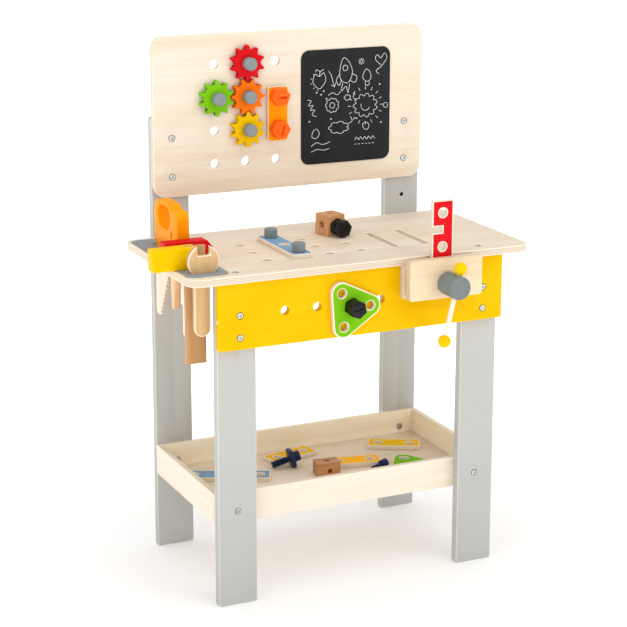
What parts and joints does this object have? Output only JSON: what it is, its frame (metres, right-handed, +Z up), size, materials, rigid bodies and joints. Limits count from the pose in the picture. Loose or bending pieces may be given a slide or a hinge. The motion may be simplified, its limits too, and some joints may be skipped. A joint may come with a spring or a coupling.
{
  "type": "toy workbench",
  "caption": "Wooden toy workbench with a peg board, chalkboard, working vise, gear wheels on pegs, play tools hung in slots and a tray of loose building pieces.",
  "frame": {"origin": "on the floor, midway across the legs in X and midway between the front of the front legs and the back of the rear posts in Y", "axes": "+X to the right along the bench for a child who stands at it, +Y from the child towards the peg board, +Z up"},
  "size_m": [0.677, 0.4139, 0.942],
  "materials": {
    "grey_paint": "satin paint on wood",
    "birch_ply": "clear satin lacquer",
    "yellow_paint": "satin paint on wood",
    "slate_print": "matt print on wood",
    "chalk_black": "matt chalkboard paint",
    "zinc_steel": "zinc plated",
    "warm_wood": "oiled",
    "grey_stain": "stained, matt",
    "red_paint": "satin paint on wood",
    "green_paint": "satin paint on wood",
    "orange_paint": "satin paint on wood",
    "black_stain": "stained, matt",
    "blue_paint": "satin paint on wood",
    "navy_paint": "satin paint on wood"
  },
  "bodies": {
    "bench": {"front_leg_left": "grey_paint", "front_leg_right": "grey_paint", "rear_post_left": "grey_paint", "rear_post_right": "grey_paint", "bench_top": "birch_ply", "front_board": "yellow_paint", "rear_rail": "birch_ply", "tool_plate": "slate_print", "peg_board": "birch_ply", "chalk_board": "chalk_black", "tray_floor": "birch_ply", "tray_front_wall": "birch_ply", "tray_back_wall": "birch_ply", "tray_left_wall": "birch_ply", "tray_right_wall": "birch_ply", "bench_screws": "zinc_steel", "vise_fixed_jaw": "warm_wood", "vise_nut": "warm_wood"},
    "moving_jaw": {"vise_jaw": "warm_wood", "vise_guide_pins": "warm_wood"},
    "vise_spindle": {"vise_screw": "warm_wood", "vise_knob": "grey_stain"},
    "tommy": {"tommy_bar": "warm_wood", "tommy_balls": "yellow_paint"},
    "wheel_red": {"gear_red": "red_paint"},
    "wheel_peg_red": {"peg_red": "grey_stain"},
    "wheel_green": {"gear_green": "green_paint"},
    "wheel_peg_green": {"peg_green": "grey_stain"},
    "wheel_orange": {"gear_orange": "orange_paint"},
    "wheel_peg_orange": {"peg_orange": "grey_stain"},
    "wheel_yellow": {"gear_yellow": "yellow_paint"},
    "wheel_peg_yellow": {"peg_yellow": "grey_stain"},
    "strip_on_board": {"orange_strip": "orange_paint"},
    "upper_bolt": {"strip_bolt_upper": "red_paint"},
    "lower_bolt": {"strip_bolt_lower": "red_paint"},
    "triangle": {"triangle_plate": "green_paint"},
    "triangle_fixing": {"triangle_bolt": "black_stain"},
    "strip_on_top": {"blue_strip": "blue_paint"},
    "back_peg": {"peg_blue_back": "grey_stain"},
    "front_peg": {"peg_blue_front": "grey_stain"},
    "cube": {"cube_block": "warm_wood"},
    "cube_fixing": {"cube_bolt": "black_stain"},
    "loose_nut": {"cube_nut": "black_stain"},
    "plate_in_vise": {"red_plate": "red_paint"},
    "saw": {"saw_handle": "orange_paint", "saw_blade": "warm_wood"},
    "open_wrench": {"wrench": "warm_wood"},
    "try_square": {"square_stock": "yellow_paint", "square_blade": "warm_wood"},
    "hammer": {"hammer_head": "red_paint", "hammer_handle": "warm_wood"},
    "wood_chisel": {"chisel": "warm_wood"},
    "loose_blue_strip": {"tray_blue_strip": "blue_paint"},
    "loose_strip_left": {"tray_strip_left": "yellow_paint"},
    "loose_strip_middle": {"tray_strip_middle": "yellow_paint"},
    "loose_strip_right": {"tray_strip_right": "yellow_paint"},
    "loose_long_bolt": {"tray_long_bolt": "navy_paint"},
    "loose_short_bolt": {"tray_short_bolt": "navy_paint"},
    "loose_block": {"tray_block": "warm_wood"},
    "loose_triangle": {"tray_triangle": "green_paint"}
  },
  "joints": [
    {"name": "vise_opening", "type": "slide", "parent": "bench", "child": "moving_jaw", "axis": [0, -1, 0], "range_m": [0, 0.03]},
    {"name": "vise_turning", "type": "hinge", "parent": "moving_jaw", "child": "vise_spindle", "pos_m": [0.137, -0.232, 0.5425], "axis": [0, -1, 0], "range_deg": [0, 1350]},
    {"name": "tommy_bar_sliding", "type": "slide", "parent": "vise_spindle", "child": "tommy", "axis": [0.225, 0, 0.9744], "range_m": [0, 0.062]},
    {"name": "wheel_turning_orange", "type": "hinge", "parent": "bench", "child": "wheel_orange", "pos_m": [-0.0885, 0.126, 0.829], "axis": [0, -1, 0], "continuous": true},
    {"name": "wheel_turning_red", "type": "hinge", "parent": "bench", "child": "wheel_red", "pos_m": [-0.0885, 0.126, 0.888], "axis": [0, -1, 0], "continuous": true},
    {"name": "wheel_turning_green", "type": "hinge", "parent": "bench", "child": "wheel_green", "pos_m": [-0.1475, 0.126, 0.829], "axis": [0, -1, 0], "continuous": true},
    {"name": "wheel_turning_yellow", "type": "hinge", "parent": "bench", "child": "wheel_yellow", "pos_m": [-0.0885, 0.126, 0.77], "axis": [0, -1, 0], "continuous": true},
    {"name": "wheel_peg_pulling_orange", "type": "slide", "parent": "bench", "child": "wheel_peg_orange", "axis": [0, -1, 0], "range_m": [0, 0.04]},
    {"name": "wheel_peg_pulling_red", "type": "slide", "parent": "bench", "child": "wheel_peg_red", "axis": [0, -1, 0], "range_m": [0, 0.04]},
    {"name": "wheel_peg_pulling_green", "type": "slide", "parent": "bench", "child": "wheel_peg_green", "axis": [0, -1, 0], "range_m": [0, 0.04]},
    {"name": "wheel_peg_pulling_yellow", "type": "slide", "parent": "bench", "child": "wheel_peg_yellow", "axis": [0, -1, 0], "range_m": [0, 0.04]},
    {"name": "strip_pulling", "type": "slide", "parent": "bench", "child": "strip_on_board", "axis": [0, -1, 0], "range_m": [0, 0.06]},
    {"name": "upper_bolt_pulling", "type": "slide", "parent": "strip_on_board", "child": "upper_bolt", "axis": [0, -1, 0], "range_m": [0, 0.03]},
    {"name": "lower_bolt_pulling", "type": "slide", "parent": "strip_on_board", "child": "lower_bolt", "axis": [0, -1, 0], "range_m": [0, 0.03]},
    {"name": "triangle_turning", "type": "hinge", "parent": "bench", "child": "triangle", "pos_m": [-0.0295, -0.1778, 0.5086], "axis": [0, -1, 0], "continuous": true},
    {"name": "triangle_bolt_pulling", "type": "slide", "parent": "bench", "child": "triangle_fixing", "axis": [0, -1, 0], "range_m": [0, 0.04]},
    {"name": "top_strip_lifting", "type": "slide", "parent": "bench", "child": "strip_on_top", "axis": [0, 0, 1], "range_m": [0, 0.06]},
    {"name": "back_peg_lifting", "type": "slide", "parent": "strip_on_top", "child": "back_peg", "axis": [0, 0, 1], "range_m": [0, 0.03]},
    {"name": "front_peg_lifting", "type": "slide", "parent": "strip_on_top", "child": "front_peg", "axis": [0, 0, 1], "range_m": [0, 0.03]},
    {"name": "cube_lifting", "type": "slide", "parent": "bench", "child": "cube", "axis": [0, 0, 1], "range_m": [0, 0.1]},
    {"name": "cube_bolt_pulling", "type": "slide", "parent": "cube", "child": "cube_fixing", "axis": [0.2079, -0.9781, 0], "range_m": [0, 0.05]},
    {"name": "cube_nut_turning", "type": "hinge", "parent": "cube_fixing", "child": "loose_nut", "pos_m": [0.03705, 0.01892, 0.6023], "axis": [0.2079, -0.9781, 0], "continuous": true},
    {"name": "plate_lifting", "type": "slide", "parent": "bench", "child": "plate_in_vise", "axis": [0, 0, 1], "range_m": [0, 0.08]},
    {"name": "saw_lifting", "type": "slide", "parent": "bench", "child": "saw", "axis": [0, 0, 1], "range_m": [0, 0.16]},
    {"name": "wrench_lifting", "type": "slide", "parent": "bench", "child": "open_wrench", "axis": [0, 0, 1], "range_m": [0, 0.14]},
    {"name": "square_lifting", "type": "slide", "parent": "bench", "child": "try_square", "axis": [0, 0, 1], "range_m": [0, 0.2]},
    {"name": "hammer_lifting", "type": "slide", "parent": "bench", "child": "hammer", "axis": [0, 0, 1], "range_m": [0, 0.16]},
    {"name": "chisel_lifting", "type": "slide", "parent": "bench", "child": "wood_chisel", "axis": [0, 0, 1], "range_m": [0, 0.1]},
    {"name": "lifting_blue_strip", "type": "slide", "parent": "bench", "child": "loose_blue_strip", "axis": [0, 0, 1], "range_m": [0, 0.1]},
    {"name": "lifting_strip_left", "type": "slide", "parent": "bench", "child": "loose_strip_left", "axis": [0, 0, 1], "range_m": [0, 0.1]},
    {"name": "lifting_strip_middle", "type": "slide", "parent": "bench", "child": "loose_strip_middle", "axis": [0, 0, 1], "range_m": [0, 0.1]},
    {"name": "lifting_strip_right", "type": "slide", "parent": "bench", "child": "loose_strip_right", "axis": [0, 0, 1], "range_m": [0, 0.1]},
    {"name": "lifting_long_bolt", "type": "slide", "parent": "bench", "child": "loose_long_bolt", "axis": [0, 0, 1], "range_m": [0, 0.1]},
    {"name": "lifting_short_bolt", "type": "slide", "parent": "bench", "child": "loose_short_bolt", "axis": [0, 0, 1], "range_m": [0, 0.1]},
    {"name": "lifting_block", "type": "slide", "parent": "bench", "child": "loose_block", "axis": [0, 0, 1], "range_m": [0, 0.1]},
    {"name": "lifting_triangle", "type": "slide", "parent": "bench", "child": "loose_triangle", "axis": [0, 0, 1], "range_m": [0, 0.1]}
  ],
  "couplings": [
    {"joint": "vise_opening", "follows": "vise_turning", "m_per_rad": 0.0012732},
    {"joint": "wheel_turning_red", "follows": "wheel_turning_orange", "ratio": -1},
    {"joint": "wheel_turning_green", "follows": "wheel_turning_orange", "ratio": -1},
    {"joint": "wheel_turning_yellow", "follows": "wheel_turning_orange", "ratio": -1}
  ]
}
